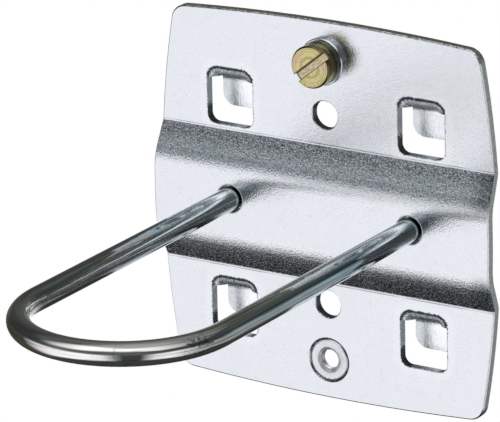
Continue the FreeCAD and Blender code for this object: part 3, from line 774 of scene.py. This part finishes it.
def make_floor():
    """A plain white floor under the hook. It shows from above only, and lights nothing."""
    mesh = bpy.data.meshes.new("floor")
    signs = ((-1, -1), (1, -1), (1, 1), (-1, 1))
    corners = [(side * FLOOR_REACH, depth * FLOOR_REACH, FLOOR_Z) for side, depth in signs]
    mesh.from_pydata(corners, [], [(0, 1, 2, 3)])
    floor = bpy.data.objects.new("floor", mesh)
    scene.collection.objects.link(floor)
    made, t = new_material("floor_white")
    light = t.add("ShaderNodeEmission")
    light.inputs["Color"].default_value = WHITE
    clear = t.add("ShaderNodeBsdfTransparent")
    chosen = t.add("ShaderNodeMixShader")
    t.feed(chosen.inputs[0], t.add("ShaderNodeNewGeometry").outputs["Backfacing"])
    t.feed(chosen.inputs[1], light.outputs[0])
    t.feed(chosen.inputs[2], clear.outputs[0])
    t.finish("ShaderNodeOutputMaterial", chosen)
    mesh.materials.append(made)
    floor.visible_glossy = floor.visible_diffuse = floor.visible_shadow = False


# What the metal mirrors, from the ground up. Heights run from 0 below to 1 overhead.
# In each list of stops, a bearing in degrees is 0 to the front and grows towards +X.

DARK_GROUND = rgb(0.047, 0.051, 0.053)
OVERHEAD = grey(0.38)
GROUND_TOP = (0.105, 0.16)
BELT_FOOT = (0.50, 0.59)
BELT_TOP = (0.72, 0.825)
OVERHEAD_FOOT = (0.95, 0.99)
BELT_TOP_LIFT = 0.1

# A white sheet hangs at the rear left, and the dark ground reaches higher at the rear
SHEET_WAY = (-0.508, 0.801, -0.316)
SHEET_EDGE = (0.945, 0.975)
SHEET = grey(1.05, 0.02)
REAR = (0.1, 0.5)
REAR_LIFT = 0.11

LOW_STOPS = [
    (-180, rgb(0.24, 0.26, 0.27)),
    (-145, rgb(0.20, 0.20, 0.18)),
    (-115, rgb(0.05, 0.05, 0.04)),
    (-80, rgb(0.06, 0.06, 0.05)),
    (-60, grey(0.80, 0.02)),
    (-45, grey(1.0, 0.035)),
    (-8, grey(1.06, 0.04)),
    (8, grey(0.85, 0.03)),
    (20, grey(0.25)),
    (27, grey(0.05)),
    (44, grey(0.05)),
    (58, grey(0.80, 0.02)),
    (75, grey(0.95, 0.03)),
    (100, rgb(0.40, 0.45, 0.48)),
    (130, rgb(0.27, 0.345, 0.385)),
    (180, rgb(0.27, 0.33, 0.365)),
]

BELT_STOPS = [
    (-180, rgb(0.11, 0.12, 0.11)),
    (-110, grey(0.035)),
    (-70, rgb(0.04, 0.05, 0.055)),
    (-35, rgb(0.135, 0.165, 0.185)),
    (30, rgb(0.10, 0.12, 0.13)),
    (75, grey(0.06)),
    (110, grey(0.05, 0.01)),
    (140, rgb(0.045, 0.06, 0.07)),
    (180, rgb(0.09, 0.11, 0.11)),
]

HIGH_STOPS = [
    (-180, rgb(0.22, 0.23, 0.22)),
    (-115, grey(0.10)),
    (-70, grey(0.10)),
    (-45, grey(0.85)),
    (-22, grey(1.25, 0.02)),
    (30, grey(1.3, 0.02)),
    (62, grey(0.9, 0.02)),
    (95, grey(0.45, 0.02)),
    (130, rgb(0.22, 0.25, 0.27)),
    (180, rgb(0.22, 0.24, 0.26)),
]

# How far the top of the belt is raised at each bearing, as a grey level
RAISED_STOPS = [
    (-180, grey(0.16)),
    (-110, grey(0.20)),
    (-50, grey(0.07)),
    (-30, grey(0.09)),
    (-15, grey(0.11)),
    (5, grey(0.15)),
    (40, grey(0.15)),
    (65, grey(0.08)),
    (100, grey(0.10)),
    (140, grey(0.16)),
]


def make_studio():
    """Soft light that the metal mirrors: a bright ground in front, a dark belt and a wide soft box."""
    world = bpy.data.worlds.new("studio")
    scene.world = world
    t = Tree(world)
    x, y, z = t.parts(t.add("ShaderNodeTexCoord").outputs["Generated"])
    height = t.math("MULTIPLY_ADD", z, 0.5, 0.5)
    bearing = t.math("MULTIPLY_ADD", t.math("ARCTAN2", x, t.times(y, -1.0)), 0.5 / math.pi, 0.5)

    def round_about(stops):
        return t.ramp(bearing, [(degrees / 360.0 + 0.5, colour) for degrees, colour in stops])

    over_ground = t.minus(height, t.span(y, *REAR, 0.0, REAR_LIFT))
    over_belt = t.minus(t.plus(height, BELT_TOP_LIFT), t.parts(round_about(RAISED_STOPS))[0])
    shade = t.mix(t.span(over_ground, *GROUND_TOP), DARK_GROUND, round_about(LOW_STOPS))
    shade = t.mix(t.span(height, *BELT_FOOT), shade, round_about(BELT_STOPS))
    shade = t.mix(t.span(over_belt, *BELT_TOP), shade, round_about(HIGH_STOPS))
    shade = t.mix(t.span(height, *OVERHEAD_FOOT), shade, OVERHEAD)
    towards = t.add("ShaderNodeVectorMath", operation="DOT_PRODUCT")
    t.feed(towards.inputs[0], t.vector(x, y, z))
    towards.inputs[1].default_value = SHEET_WAY
    shade = t.mix(t.span(towards.outputs["Value"], *SHEET_EDGE), shade, SHEET)

    # The camera sees plain white behind the hook
    shown = t.mix(t.add("ShaderNodeLightPath").outputs["Is Camera Ray"], shade, WHITE)
    sky = t.add("ShaderNodeBackground")
    t.feed(sky.inputs["Color"], shown)
    t.finish("ShaderNodeOutputWorld", sky)


make_camera()
make_floor()
make_studio()
scene.view_settings.view_transform = "Standard"

dress("back_plate", plate_material())
dress("wire_loop", wire_material())
yellow = screw_material()
dress("locking_screw", yellow)
dress("spring_washer", spring_material())
dress("flat_washer", turned_material("washer_zinc_turned", UPPER_Z, WASHER_ROUGHNESS))
upper_zinc = turned_material("upper_nut_turned", UPPER_Z, NUT_ROUGHNESS)
threaded_nut("upper_nut_threaded", UPPER_Z, "upper_press_nut", upper_zinc)
lower_zinc = turned_material("lower_nut_turned", LOWER_Z, NUT_ROUGHNESS, open_bore=True)
threaded_nut("lower_nut_threaded", LOWER_Z, "lower_press_nut", lower_zinc)
screw_thread(yellow)
